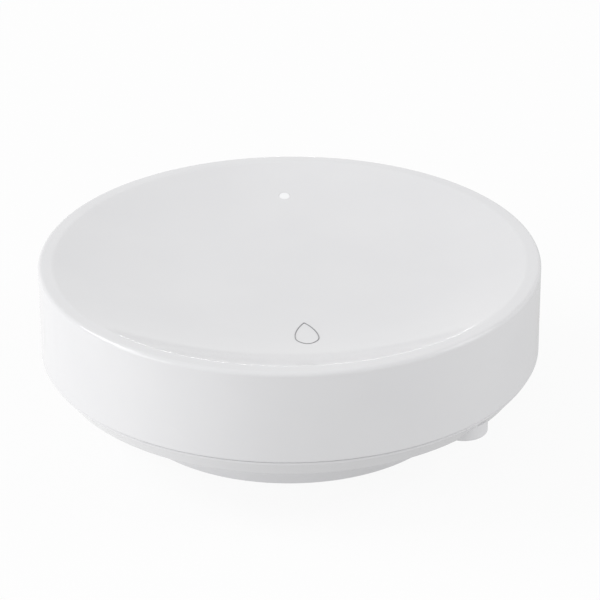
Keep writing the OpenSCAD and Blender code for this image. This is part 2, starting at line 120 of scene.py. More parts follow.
def turned(*points, steps=64, span=tau):
    """A turned solid from a closed or axis-to-axis outline."""
    bm = bmesh.new()
    tip = draw_on(bm, None, *points)
    if points[0][0] > 0:
        bm.verts.ensure_lookup_table()
        bm.edges.new((tip, bm.verts[0]))
    turn_round(bm, steps, span)
    return bm


def peg(r, low, high, steps=64):
    """A plain round peg, to take out a hole with."""
    return turned((0, low), (r, low), (r, high), (0, high), steps=steps)


def tube(near, far, low, high):
    """A plain tube between two distances from its middle."""
    return turned((near, high), (near, low), (far, low), (far, high))


def put(bm, x, y, z=0.0, turn=0.0):
    """Moves a made shape to its place, turned first about its own middle."""
    bmesh.ops.rotate(bm, verts=bm.verts, matrix=Matrix.Rotation(turn, 3, "Z"))
    bmesh.ops.translate(bm, verts=bm.verts, vec=(x, y, z))
    return bm


def rib(outline, start, span, steps):
    """A rib that follows the case's round from a start angle over a span, both in degrees."""
    return put(turned(*outline, steps=steps, span=radians(span)), 0, 0, 0, radians(start))


def square(near, far, low, high):
    """The outline of a rib with four square edges."""
    return [(near, low), (far, low), (far, high), (near, high)]


def together(*shapes):
    """Collects separate shapes in one bmesh."""
    whole = bmesh.new()
    for bm in shapes:
        mesh = bpy.data.meshes.new("shape")
        bm.to_mesh(mesh)
        bm.free()
        whole.from_mesh(mesh)
        bpy.data.meshes.remove(mesh)
    return whole


def carve(bm, tools, how):
    """Joins shapes to a body ("UNION") or takes them out of it ("DIFFERENCE")."""
    blanks = []
    for shape in (bm, tools):
        mesh = bpy.data.meshes.new("blank")
        shape.to_mesh(mesh)
        shape.free()
        blanks.append(bpy.data.objects.new("blank", mesh))
        bpy.context.scene.collection.objects.link(blanks[-1])
    modifier = blanks[0].modifiers.new("carve", "BOOLEAN")
    modifier.operation, modifier.solver, modifier.object = how, "EXACT", blanks[1]
    made = bmesh.new()
    made.from_mesh(blanks[0].evaluated_get(bpy.context.evaluated_depsgraph_get()).to_mesh())
    bmesh.ops.dissolve_degenerate(made, edges=made.edges, dist=0.002)
    for blank in blanks:
        mesh = blank.data
        bpy.data.objects.remove(blank)
        bpy.data.meshes.remove(mesh)
    return made


def piece(name, bm, body, slot, material, *nodes):
    """Makes a shape drawn in millimetres a piece that rides on a body and stands for CAD nodes."""
    bmesh.ops.scale(bm, vec=(mm, mm, mm), verts=bm.verts)
    mesh = bpy.data.meshes.new(name)
    bm.to_mesh(mesh)
    bm.free()
    mesh.shade_smooth()
    mesh.set_sharp_from_angle(angle=sharp_edge)
    mesh.materials.append(material)
    made = bpy.data.objects.new(name, mesh)
    bpy.context.scene.collection.objects.link(made)
    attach(made, body)
    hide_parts(*nodes)
    return made


def finish(name, dark, pale, patch, rough, grain, depth, metallic=0.0, stretch=(1, 1, 1)):
    """A surface of two close colours in soft patches, with a roughness range and a fine grain.
    The sizes of patch and grain and the grain's depth are in millimetres."""
    made = bpy.data.materials.new(name)
    made.use_nodes = True
    nodes, links = made.node_tree.nodes, made.node_tree.links
    shader = nodes["Principled BSDF"]
    shader.inputs["Metallic"].default_value = metallic
    place = nodes.new("ShaderNodeTexCoord")
    turn = nodes.new("ShaderNodeMapping")
    turn.inputs["Scale"].default_value = stretch
    links.new(place.outputs["Object"], turn.inputs["Vector"])
    tone = nodes.new("ShaderNodeTexNoise")
    tone.inputs["Scale"].default_value = 1 / (patch * mm)
    tone.inputs["Detail"].default_value = 3
    noise_low, noise_high = 0.3, 0.7
    ramp = nodes.new("ShaderNodeValToRGB")
    first, last = ramp.color_ramp.elements
    first.position, last.position = noise_low, noise_high
    first.color, last.color = (*dark, 1), (*pale, 1)
    gloss = nodes.new("ShaderNodeMapRange")
    gloss.inputs["From Min"].default_value = noise_low
    gloss.inputs["From Max"].default_value = noise_high
    gloss.inputs["To Min"].default_value, gloss.inputs["To Max"].default_value = rough
    fine = nodes.new("ShaderNodeTexNoise")
    fine.inputs["Scale"].default_value = 1 / (grain * mm)
    fine.inputs["Detail"].default_value = 2
    relief = nodes.new("ShaderNodeBump")
    relief.inputs["Strength"].default_value = 0.3
    relief.inputs["Distance"].default_value = depth * mm
    for noise in (tone, fine):
        links.new(turn.outputs["Vector"], noise.inputs["Vector"])
    links.new(tone.outputs["Fac"], ramp.inputs["Fac"])
    links.new(ramp.outputs["Color"], shader.inputs["Base Color"])
    links.new(tone.outputs["Fac"], gloss.inputs["Value"])
    links.new(gloss.outputs["Result"], shader.inputs["Roughness"])
    links.new(fine.outputs["Fac"], relief.inputs["Height"])
    links.new(relief.outputs["Normal"], shader.inputs["Normal"])
    return made


white_plastic = finish("white_plastic", (0.775, 0.775, 0.788), (0.795, 0.795, 0.806),
                       patch=14, rough=(0.045, 0.065), grain=0.35, depth=0.0008)

# The points close to each round hold the flats level where the two are shaded as one surface.
shell = bmesh.new()
tip = draw_on(shell, None, (0, dish_low))
tip = arc_on(shell, tip, (0, middle_z), middle_slope, 10)
tip = arc_on(shell, tip, (side_x, side_z), edge_slope - middle_slope - lip_half / side_arc, 24)
tip = arc_on(shell, tip, (dish_r + lip_half, case_h - lip), -edge_slope, 10)
tip = draw_on(shell, tip, *corner(dish_r, case_h, (0.5, 0), (0.65, 0)),
              *corner(rim_out, case_h, (-0.25, 0), (-0.1, 0), (0, 0)))
tip = arc_on(shell, tip, (rim_out, case_h - rim_round), -pi / 2, 12)
tip = draw_on(shell, tip, *corner(case_r, case_h, (0, -0.7), (0, -0.9), (0, -1.5)),
              (case_r, wall_middle),
              *corner(case_r, seam_z, (0, 0.6), (0, 0.3), (0, seam_round), (-0.045, 0.045),
                      (-seam_round, 0), (-0.3, 0)),
              (wall_in, seam_z), (wall_in, board_top + 0.5),
              (wall_in, side_z - (side_arc + wall) * cos(under_slope)))
tip = arc_on(shell, tip, (side_x, side_z), middle_slope - under_slope, 12)
arc_on(shell, tip, (0, middle_z), -middle_slope, 4)
turn_round(shell)

inside, stops = [tube(seat_r, seat_r + seat_wall, seat - seat_down, seat + seat_up)], []
screw_spots = [around(boss_ring, angle) for angle in (30, 150, 270)]
for spot in screw_spots:
    boss = turned((0, pilot_high), (pilot_r, pilot_high), (pilot_r, board_top + pilot_edge),
                  (pilot_r + pilot_edge, board_top), (boss_r, board_top), (boss_r, boss_high),
                  (0, boss_high))
    inside.append(put(boss, *spot))
for hook in (0, 120, 240):
    inside.append(rib(square(hook_r, hook_root, hook_low, hook_high),
                      hook - hook_span / 2, hook_span, 24))
    for beside in stops_beside:
        stops.append(rib(square(stop_r, stop_root, stop_low, stop_high),
                         hook + beside - stop_span / 2, stop_span, 3))
inside.append(put(tube(pipe_r + pipe_gap, guide_r, guide_low, guide_high), *light_at))
shell = carve(shell, together(*inside), "UNION")
shell = carve(shell, together(*stops), "UNION")
pipe_hole = put(peg(pipe_r + pipe_gap, hole_low, hole_high), *light_at)
shell = carve(shell, pipe_hole, "DIFFERENCE")
piece("shell_moulding", shell, "case", "white_plastic", white_plastic, "top_shell")


# Light pipe
# A clear rod with a collar, pressed up into its guide; its frosted end is flush with the dish.
# It carries the status light from the board. Here its frosted end has a faint painted glow of its own,
# which no lamp casts.
rod_r, pipe_low, collar_r, collar_low, painted_glow_strength = 0.75, 14.9, 1.3, 15.25, 0.07
collar_high = guide_low - 0.05
pipe_top = dish_height(hypot(*light_at))
glow = finish("light_pipe_painted_glow", (0.86, 0.87, 0.88), (0.9, 0.9, 0.91),
              patch=2, rough=(0.3, 0.4), grain=0.2, depth=0.004)
shine = glow.node_tree.nodes["Principled BSDF"].inputs
# Painted glow: the pipe's end emits a little white light itself, because the status light chip under it
# gives none.
shine["Emission Color"].default_value = (1, 1, 1, 1)
shine["Emission Strength"].default_value = painted_glow_strength
pipe = turned((0, pipe_low), *corner(rod_r, pipe_low, (-0.1, 0), (0, 0.1)), (rod_r, collar_low),
              *corner(collar_r, collar_low, (-0.1, 0), (0, 0.1)),
              *corner(collar_r, collar_high, (0, -0.1), (-0.1, 0)), (pipe_r, collar_high),
              *corner(pipe_r, pipe_top, (0, -0.3), (0, -0.05), (-0.05, 0)),
              (0.4, pipe_top), (0, pipe_top))
put(pipe, *light_at)
for v in pipe.verts:
    if v.co.z > pipe_top - 0.1:
        v.co.z += dish_height(hypot(v.co.x, v.co.y)) - pipe_top
piece("light_rod", pipe, "case", "clear_plastic", glow, "light_pipe")


# Drop mark
# A thin grey line in the shape of a water drop, pad-printed on the dish near the front.
# The print follows the dish and is hardly thicker than paint.
drop_r, drop_tip, drop_low, end_r, line_w, print_t = 1.65, 5.2, 2.4, 0.9, 0.12, 0.05
drop_ring, drop_angle, drop_lean = 18.35, -82.8, radians(4.2)
tip_arc = (drop_tip ** 2 + drop_r ** 2) / (2 * drop_r)
end_y = drop_low - end_r
bulge = (drop_r ** 2 + end_y ** 2 - end_r ** 2) / (2 * (drop_r - end_r))
bulge_turn = asin(end_y / (bulge - end_r))
past_middle = 0.02
drop_at = around(drop_ring, drop_angle)
print_grey = finish("grey_print", (0.26, 0.26, 0.27), (0.31, 0.31, 0.32),
                    patch=0.6, rough=(0.5, 0.6), grain=0.05, depth=0.002)
drop = bmesh.new()
ends = [drop.verts.new((0, -drop_low, 0)), drop.verts.new((0, line_w - drop_low, 0))]
stroke = [drop.edges.new(ends)]
for centre, turn, steps in (
        ((0, -end_y, 0), pi / 2 - bulge_turn, 12),
        ((drop_r - bulge, 0, 0), bulge_turn, 20),
        ((drop_r - tip_arc, 0, 0), asin(drop_tip / tip_arc) + past_middle, 36)):
    swept = bmesh.ops.spin(drop, geom=stroke, cent=centre, axis=(0, 0, 1), angle=turn, steps=steps)
    stroke = [e for e in swept["geom_last"] if isinstance(e, bmesh.types.BMEdge)]
bmesh.ops.bisect_plane(drop, geom=drop.verts[:] + drop.edges[:] + drop.faces[:], dist=1e-5,
                       plane_co=(0, 0, 0), plane_no=(-1, 0, 0), clear_outer=True)
bmesh.ops.mirror(drop, geom=drop.verts[:] + drop.edges[:] + drop.faces[:], merge_dist=1e-4,
                 axis="X")
close_up(drop)
put(drop, *drop_at, 0, drop_lean)
for v in drop.verts:
    v.co.z = dish_height(hypot(v.co.x, v.co.y))
for f in drop.faces:
    f.normal_update()
    if f.normal.z < 0:
        f.normal_flip()
bmesh.ops.solidify(drop, geom=drop.faces[:], thickness=-print_t)
bmesh.ops.recalc_face_normals(drop, faces=drop.faces)
piece("drop_print", drop, "case", "grey_print", print_grey, "drop_mark")


# Lower case
# White moulding that closes the sensor from below: a sloped band under the seam, a flat underside,
# two lugs to turn it by and a round foot. Tabs on its spigot lock over the hooks of the shell.
foot_z, foot_r, foot_round, foot_in, foot_floor = 0.4, 23.5, 0.2, 21.7, 2.4
under_z, under_round, base_top = 7.2, 0.25, 9.0
band_low_r, band_r, band_top = 32.8, 34.65, seam_z - 0.2
seal_r, seal_top = 31.55, 11.55
spigot_r, spigot_in, spigot_top = 31.1, 29.5, 14.05
lug_ring, lug_angle, lug_r, lug_low, lug_round = 30.8, -40.5, 3.35, 6.7, 0.25
lug_high = base_top - 0.2
tab_r, tab_low, tab_span, tab_root = 32.9, 13.05, 18, spigot_r - 0.1
well_r, well_mouth, well_high, rivet_hole, rivet_hole_high = 2.8, 2.9, 1.4, 1.25, 3.0
stud_ring, stud_angle = 17, 40
stud_x, stud_y = around(stud_ring, stud_angle)
stud_spots = [(x, y) for x in (-stud_x, stud_x) for y in (-stud_y, stud_y)]

lower = bmesh.new()
tip = draw_on(lower, None, (0, foot_z),
              *corner(foot_r, foot_z, (-0.5, 0), (-0.3, 0), (-foot_round, 0)))
tip = arc_on(lower, tip, (foot_r - foot_round, foot_z + foot_round), pi / 2, 6)
tip = draw_on(lower, tip, *corner(foot_r, foot_z, (0, 0.3), (0, 0.5)),
              *corner(foot_r, under_z, (0, -0.5), (0, -0.35), (0, -under_round)))
tip = arc_on(lower, tip, (foot_r + under_round, under_z - under_round), -pi / 2, 5)
draw_on(lower, tip, *corner(foot_r, under_z, (0.35, 0), (0.6, 0)),
        *corner(band_low_r, under_z, (-0.5, 0), (-0.24, 0), (-0.14, 0), (-0.06, 0.02), (0, 0.08),
                (0.1, 0.25)),
        *corner(band_r, band_top, (-0.15, -0.49), (-0.05, -0.37), (-0.01, -0.3), (0, -0.24),
                (0, -0.14), (-0.03, -0.03), (-0.1, 0)),
        (seal_r, band_top), (seal_r, seal_top), (spigot_r, seal_top),
        *corner(spigot_r, spigot_top, (0, -0.2), (-0.2, 0)),
        *corner(spigot_in, spigot_top, (0.2, 0), (0, -0.2)),
        (spigot_in, base_top), (foot_in, base_top),
        *corner(foot_in, foot_floor, (0, 0.4), (-0.4, 0)), (0, foot_floor))
turn_round(lower)

added = []
for side in (0, 180):
    lug = bmesh.new()
    tip = draw_on(lug, None, (0, lug_low),
                  *corner(lug_r, lug_low, (-0.55, 0), (-0.35, 0), (-lug_round, 0)))
    tip = arc_on(lug, tip, (lug_r - lug_round, lug_low + lug_round), pi / 2, 6)
    draw_on(lug, tip, *corner(lug_r, lug_low, (0, 0.35), (0, 0.6)), (lug_r, lug_high), (0, lug_high))
    turn_round(lug, 96)
    added.append(put(lug, *around(lug_ring, side + lug_angle)))
for tab in (0, 120, 240):
    outline = [(tab_root, tab_low), *corner(tab_r, tab_low, (-0.2, 0), (0, 0.2)),
               *corner(tab_r, spigot_top, (0, -0.2), (-0.2, 0)), (tab_root, spigot_top)]
    added.append(rib(outline, tab - tab_span / 2, tab_span, 24))
lower = carve(lower, together(*added), "UNION")
wells = []
for spot in stud_spots:
    well = turned((0, 0), (well_mouth, 0), (well_mouth, 0.35), (well_r, 0.5), (well_r, well_high),
                  (rivet_hole, well_high), (rivet_hole, rivet_hole_high), (0, rivet_hole_high))
    wells.append(put(well, *spot))
lower = carve(lower, together(*wells), "DIFFERENCE")
piece("lower_moulding", lower, "base", "white_plastic", white_plastic, "lower_case")


# Probe studs
# Four stainless studs turned on a lathe and riveted through the foot's floor. The sensor stands on
# them, and water that reaches a pair of them closes the circuit.
stud_r, stud_high, pit_r, pit = 2.5, 0.9, 0.3, 0.03
rivet_r, rivet_low, rivet_head, rivet_high = 1.2, 2.7, 1.8, 3.2
stud_steel = finish("stud_steel", (0.52, 0.52, 0.53), (0.66, 0.66, 0.67),
                    patch=1.5, rough=(0.22, 0.36), grain=0.12, depth=0.004, metallic=1.0)
studs = []
for spot in stud_spots:
    stud = turned((0, pit), (pit_r - 0.05, pit), (pit_r, 0),
                  *corner(stud_r, 0, (-0.2, 0), (-0.08, 0.03), (-0.03, 0.09), (0, 0.2)),
                  *corner(stud_r, stud_high, (0, -0.05), (-0.05, 0)),
                  (rivet_r, stud_high), (rivet_r, rivet_low),
                  *corner(rivet_head, rivet_low, (-0.1, 0), (0, 0.1), (-0.05, 0.3), (-0.6, 0.47)),
                  (rivet_head / 3, rivet_high), (0, rivet_high))
    studs.append(put(stud, *spot))
piece("stud_set", together(*studs), "base", "steel", stud_steel, "probe_studs")


# Sounder
# A brass plate with a silvered ceramic disc bonded under it, laid into its seat below the dish.
# Two bent fingers of spring sheet stand on the board and reach up to plate and disc.
disc_r, sheet_t, sheet_edge = 10.0, 0.25, 0.06
brass_sheet = finish("brass_sheet", (0.7, 0.52, 0.22), (0.8, 0.62, 0.3),
                     patch=4, rough=(0.25, 0.4), grain=0.2, depth=0.005, metallic=1.0,
                     stretch=(1, 12, 1))
silvered_ceramic = finish("silvered_ceramic", (0.68, 0.67, 0.63), (0.78, 0.77, 0.74),
                          patch=2, rough=(0.4, 0.6), grain=0.15, depth=0.008)
spring_metal = finish("spring_metal", (0.72, 0.56, 0.3), (0.82, 0.67, 0.4),
                      patch=3, rough=(0.2, 0.35), grain=0.15, depth=0.004, metallic=1.0)


def disc(r, low, high, edge, steps=128):
    """A round plate with its edges broken."""
    return turned((0, low), (r - edge, low), (r, low + edge), (r, high - edge), (r - edge, high),
                  (0, high), steps=steps)


def dress(material, *names):
    """Gives the frame's own solids their finish, where their shape is right as it is."""
    for name in names:
        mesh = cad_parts[name].data
        mesh.materials.clear()
        mesh.materials.append(material)


brass_plate = disc(plate_r, seat - sheet_t, seat, sheet_edge)
piece("sounder_plate", brass_plate, "case", "brass_sheet", brass_sheet, "piezo_plate")
ceramic = disc(disc_r, seat - 2 * sheet_t, seat - sheet_t, sheet_edge)
piece("sounder_disc", ceramic, "case", "silvered_ceramic", silvered_ceramic, "piezo_ceramic")
dress(spring_metal, "piezo_springs")


# Board
# A round glass-fibre board under green solder mask, hung from the shell's three bosses.
# Its copper tracks show as low arcs under the mask.
board_low, board_r, board_edge = 12.8, 29.0, 0.12
track_w, track_t, overcut = 0.3, 0.03, 1.0
board_green = finish("board_green", (0.02, 0.15, 0.06), (0.035, 0.22, 0.09),
                     patch=3, rough=(0.35, 0.5), grain=0.3, depth=0.01)
track_green = finish("track_green", (0.045, 0.26, 0.11), (0.06, 0.33, 0.15),
                     patch=1, rough=(0.35, 0.45), grain=0.2, depth=0.006)
holes = [put(peg(pilot_r, board_low - overcut, board_top + overcut), *spot) for spot in screw_spots]
board = carve(disc(board_r, board_low, board_top, board_edge, 192), together(*holes), "DIFFERENCE")
piece("board_blank", board, "case", "board_green", board_green, "main_board")
tracks = []
for r, start, span in ((17.4, 37, 72), (18.1, 37, 72), (18.8, 37, 70), (19.5, 37, 70),
                       (18.8, -61, 14), (19.5, -61, 14), (20.2, -58, 12)):
    tracks.append(rib(square(r, r + track_w, board_top, board_top + track_t), start, span, span // 2))
piece("board_tracks", together(*tracks), "case", "board_green", track_green)


# Board screws
# Three short steel screws for plastic, with a coarse thread, a pan head and a pressed cross recess.
# They go up through the board into the bosses.
head_r, head_low, shank_r, root_r, screw_tip, pitch = 1.9, 11.4, 1.0, 0.78, 17.8, 0.55
recess_long, recess_wide, recess_deep = 0.95, 0.28, 0.7
bright_steel = finish("bright_steel", (0.55, 0.55, 0.56), (0.66, 0.66, 0.67),
                      patch=2, rough=(0.2, 0.35), grain=0.1, depth=0.005, metallic=1.0)


def block(low, high, edge, segments=2):
    """A block between two corners, with all its edges rounded."""
    bm = bmesh.new()
    bmesh.ops.create_cube(bm, size=1)
    low, high = Vector(low), Vector(high)
    bmesh.ops.scale(bm, vec=high - low, verts=bm.verts)
    bmesh.ops.translate(bm, vec=(low + high) / 2, verts=bm.verts)
    bmesh.ops.bevel(bm, geom=bm.edges[:], offset=edge, offset_type="OFFSET", segments=segments,
                    profile=0.5, affect="EDGES", material=-1)
    return bm


thread = []
for i in range(int((screw_tip - board_top - 0.6) / pitch)):
    z = board_top + 0.1 + i * pitch
    thread += [(root_r, z), (shank_r, z + 0.2), (shank_r, z + 0.26), (root_r, z + 0.46)]
screws, recesses = [], {0: [], pi / 2: []}
for spot in screw_spots:
    screw = turned(*corner(0, head_low, (0, 0), (0.9, 0.02), (1.4, 0.14), (1.72, 0.36), (1.87, 0.65),
                           (head_r, 0.9)),
                   *corner(head_r, board_low, (0, -0.08), (-0.08, 0)),
                   (shank_r, board_low), (shank_r, board_top), *thread,
                   (root_r, screw_tip - 0.4), (0.35, screw_tip), (0, screw_tip), steps=48)
    screws.append(put(screw, *spot))
    for turn, bars in recesses.items():
        bar = block((-recess_long, -recess_wide, head_low - overcut),
                    (recess_long, recess_wide, head_low + recess_deep), 0.06)
        bars.append(put(bar, *spot, 0, turn))
screws = together(*screws)
for bars in recesses.values():
    screws = carve(screws, together(*bars), "DIFFERENCE")
piece("screw_set", screws, "case", "steel", bright_steel, "board_screws")


# Chips
# Moulded black packages on both faces of the board, each with two rows of tinned leads that are
# bent down to the board and soldered.
lead_pitch, lead_w, lead_t, lead_reach = 0.65, 0.28, 0.1, 0.55
lead_foot, lead_bend, lead_root, row_margin = 0.24, 0.34, 0.1, 0.3
chip_lift, chip_edge = 0.1, 0.1
chip_black = finish("chip_black", (0.02, 0.02, 0.021), (0.035, 0.035, 0.037),
                    patch=0.8, rough=(0.5, 0.6), grain=0.1, depth=0.006)
tin_plate = finish("tin_plate", (0.58, 0.58, 0.59), (0.7, 0.7, 0.71),
                   patch=0.5, rough=(0.25, 0.4), grain=0.08, depth=0.003, metallic=1.0)


def bent_strip(points, width, thick):
    """A strip of sheet metal bent along points given as distance and height."""
    bm = bmesh.new()
    draw_on(bm, None, *points)
    bmesh.ops.translate(bm, vec=(0, -width / 2, 0), verts=bm.verts)
    side = bmesh.ops.extrude_edge_only(bm, edges=bm.edges[:])["geom"]
    bmesh.ops.translate(bm, vec=(0, width, 0),
                        verts=[v for v in side if isinstance(v, bmesh.types.BMVert)])
    bmesh.ops.recalc_face_normals(bm, faces=bm.faces)
    bmesh.ops.solidify(bm, geom=bm.faces[:], thickness=thick)
    bmesh.ops.recalc_face_normals(bm, faces=bm.faces)
    return bm


def on_board(bm, x, y, below):
    """Puts a shape drawn upwards from 0 on the board, or hangs it under the board."""
    if below:
        bmesh.ops.rotate(bm, verts=bm.verts, matrix=Matrix.Rotation(pi, 3, "X"))
    return put(bm, x, y, board_low if below else board_top)


packages, leads = [], []
for x, y, wide, deep, tall, below in (
        (15, -11, 5, 5, 0.9, False), (7, -19, 3, 3, 1, False), (16, 8, 4, 3, 1.2, False),
        (-8, 17, 2.5, 2, 1, False), (-17, 8, 4, 4, 1, True), (17, 9, 3, 2.5, 0.8, True),
        (-16, -11, 3, 3, 1, True)):
    half, count = wide / 2, int((deep - row_margin) / lead_pitch)
    package = block((lead_reach - half, -deep / 2, chip_lift), (half - lead_reach, deep / 2, tall),
                    chip_edge)
    packages.append(on_board(package, x, y, below))
    for row in (0, pi):
        for i in range(count):
            lead = bent_strip(((-half, lead_t), (lead_foot - half, lead_t),
                               (lead_bend - half, tall / 2),
                               (lead_reach + lead_root - half, tall / 2)), lead_w, lead_t)
            put(lead, 0, (i - (count - 1) / 2) * lead_pitch)
            put(lead, 0, 0, 0, row)
            leads.append(on_board(lead, x, y, below))
piece("chip_set", together(*packages), "case", "chip_black", chip_black, "board_chips")
piece("chip_leads", together(*leads), "case", "steel", tin_plate)


# Radio
# A small board soldered flat on the main one, with a pressed steel can over its chip and an aerial
# printed beside the can.
radio_x, radio_y, radio_top = (-25.5, -15.5), (-12, 0), board_top + 0.6
can_x, can_y, can_top, can_t = (-24.7, -16.3), (-11.2, -2.8), board_top + 1.6, 0.2
vent_r, vent_step = 0.3, 2
aerial_x, aerial_step, aerial_y, aerial_points = -24.8, 1.1, (-2.2, -0.6), 18
radio = block((radio_x[0], radio_y[0], board_top), (radio_x[1], radio_y[1], radio_top), 0.05)
piece("radio_plate", radio, "case", "board_green", board_green, "radio_board")
can = block((can_x[0], can_y[0], radio_top), (can_x[1], can_y[1], can_top), 0.18, 3)
hollow = block((can_x[0] + can_t, can_y[0] + can_t, radio_top - overcut),
               (can_x[1] - can_t, can_y[1] - can_t, can_top - can_t), 0.1)
can = carve(can, hollow, "DIFFERENCE")
vents = []
for x in (-vent_step, 0, vent_step):
    for y in (-vent_step, 0, vent_step):
        vent = peg(vent_r, can_top - 0.6, can_top + 0.4, 24)
        vents.append(put(vent, sum(can_x) / 2 + x, sum(can_y) / 2 + y))
can = carve(can, together(*vents), "DIFFERENCE")
piece("shield_can", can, "case", "steel", bright_steel, "radio_shield")
zigzag = [(aerial_x + aerial_step * (i // 2), aerial_y[(i + 1) // 2 % 2]) for i in range(aerial_points)]
aerial = bent_strip(zigzag, track_t, track_w)
bmesh.ops.rotate(aerial, verts=aerial.verts, matrix=Matrix.Rotation(-pi / 2, 3, "X"))
put(aerial, 0, 0, radio_top + track_t / 2)
piece("radio_aerial", aerial, "case", "spring_metal", spring_metal)


# Status light
# A small surface-mounted light under the light pipe: a pale base with a clear cast lens on it.
# It is soldered to the upper face of the board.
lamp_long, lamp_wide, lamp_base = 0.8, 0.4, 0.22
lens_long, lens_wide, lens_top = 0.55, 0.36, 0.6
lens_clear = finish("lamp", (0.8, 0.74, 0.5), (0.88, 0.82, 0.62),
                    patch=0.6, rough=(0.15, 0.25), grain=0.1, depth=0.003)
lamp = together(block((-lamp_long, -lamp_wide, 0), (lamp_long, lamp_wide, lamp_base), 0.04),
                block((-lens_long, -lens_wide, lamp_base), (lens_long, lens_wide, lens_top), 0.12, 3))
put(lamp, *light_at, board_top, atan2(light_at[1], light_at[0]))
piece("lamp_chip", lamp, "case", "lamp", lens_clear, "status_led")


# Coin cell
# A plated steel can crimped over a smaller lid, with a plastic gasket between the two. It is pushed
# up into a black moulded ring, where one contact bears on its side and one on its lid.
cell_low, cell_r, cell_round, stamp_r = 4.3, 12.25, 0.5, 9.8
lid_r, lid_round, cell_top = 10.75, 0.3, 12.0
crimp, crimp_round, groove = cell_top - 0.4, 0.7, 0.32
nickel_plate = finish("nickel_plate", (0.6, 0.6, 0.605), (0.64, 0.64, 0.645),
                      patch=7, rough=(0.2, 0.27), grain=0.12, depth=0.003, metallic=1.0)
black_plastic = finish("black_plastic", (0.018, 0.018, 0.019), (0.03, 0.03, 0.032),
                       patch=4, rough=(0.4, 0.5), grain=0.25, depth=0.01)
cell = bmesh.new()
tip = draw_on(cell, None, (0, cell_low + 0.08), *corner(stamp_r, cell_low, (-0.2, 0.08), (0, 0)),
              *corner(cell_r, cell_low, (-0.7, 0), (-cell_round, 0)))
tip = arc_on(cell, tip, (cell_r - cell_round, cell_low + cell_round), pi / 2, 6)
tip = draw_on(cell, tip, (cell_r, cell_low + 0.7),
              *corner(cell_r, crimp, (0, -0.9), (0, -crimp_round)))
tip = arc_on(cell, tip, (cell_r - crimp_round, crimp - crimp_round), pi / 2, 8)
tip = draw_on(cell, tip, *corner(lid_r, crimp, (0.4, 0), (groove, -0.06), (groove, -0.35), (0, -0.35)),
              (lid_r, cell_top - lid_round))
tip = arc_on(cell, tip, (lid_r - lid_round, cell_top - lid_round), pi / 2, 5)
draw_on(cell, tip, *corner(lid_r, cell_top, (-0.9, 0), (-1.1, -0.06)), (0, cell_top - 0.06))
turn_round(cell, 160)
piece("cell_can", cell, "case", "steel", nickel_plate, "coin_cell")
gasket = turned(*corner(lid_r, crimp, (0.02, -0.33), (0.3, -0.33), (0.3, -0.02), (0.2, 0.03),
                        (0.02, 0.03)), steps=160)
piece("cell_gasket", gasket, "case", "black_plastic", black_plastic)
dress(black_plastic, "battery_holder")
dress(spring_metal, "positive_contact", "negative_contact", "probe_springs")


# Pairing button
# A tact switch soldered under the board: a black body with a steel cover plate on its lower face.
# Its plunger carries a white cap with a hollow for a fingertip, reached with the lower case off.
switch_ring, switch_angle = 25.2, 236
switch_at, switch_turn = around(switch_ring, switch_angle), radians(switch_angle)
switch_low, switch_half, cover_t, bore_deep = 11.4, 2.6, 0.25, 0.9
plunger_r, plunger_low, plunger_high, plunger_gap = 1.3, 10.7, 11.8, 0.1
cap_r, cap_low, cap_high = 2.0, 10.2, 11.0
cover_top = switch_low + cover_t
body = block((-switch_half, -switch_half, cover_top), (switch_half, switch_half, board_low), 0.12)
cover = block((-switch_half, -switch_half, switch_low), (switch_half, switch_half, cover_top), 0.06)
for name, shape, slot, material, nodes in (
        ("switch_body", body, "black_plastic", black_plastic, ["tact_switch"]),
        ("switch_cover", cover, "steel", bright_steel, [])):
    bore = peg(plunger_r + plunger_gap, switch_low - overcut, switch_low + bore_deep)
    bored = carve(shape, bore, "DIFFERENCE")
    piece(name, put(bored, *switch_at, 0, switch_turn), "case", slot, material, *nodes)
stem = put(disc(plunger_r, plunger_low, plunger_high, 0.1, 48), *switch_at)
piece("switch_stem", stem, "pair_button", "black_plastic", black_plastic, "switch_plunger")
cap = turned(*corner(0, cap_low, (0, 0.14), (0.7, 0.11), (1.2, 0.04), (1.5, 0), (1.7, 0.02),
                     (1.88, 0.1), (1.97, 0.22), (cap_r, 0.38)),
             *corner(cap_r, cap_high, (0, -0.06), (-0.06, 0)),
             *corner(plunger_r, cap_high, (0.08, 0), (0.05, -0.03)),
             (plunger_r + 0.05, plunger_low), (0, plunger_low))
put(cap, *switch_at)
piece("button_cap", cap, "pair_button", "white_plastic", white_plastic, "switch_cap")


# Seals, strips and foam
# Rubber rings close the seam and the studs. Plated strips carry the studs' contact up to the board's
# springs, and a foam disc on the foot's floor keeps the cell from rattling.
foam_r, foam_high = 9.0, 4.0
seal_rubber = finish("seal_rubber", (0.4, 0.4, 0.41), (0.48, 0.48, 0.49),
                     patch=5, rough=(0.6, 0.75), grain=0.3, depth=0.01)
dress(seal_rubber, "case_seal", "stud_seals")
dress(spring_metal, "probe_strips")
foam_grey = finish("foam", (0.04, 0.04, 0.043), (0.075, 0.075, 0.08),
                   patch=1.2, rough=(0.8, 0.95), grain=0.4, depth=0.15)
foam = turned((0, foot_floor), *corner(foam_r, foot_floor, (-0.3, 0), (-0.08, 0.1), (0, 0.35)),
              *corner(foam_r, foam_high, (-0.06, -0.9), (0, -0.35), (-0.1, -0.08), (-0.35, -0.02),
                      (-2, 0)),
              (0, foam_high), steps=96)
piece("foam_disc", foam, "base", "foam", foam_grey, "battery_pad")


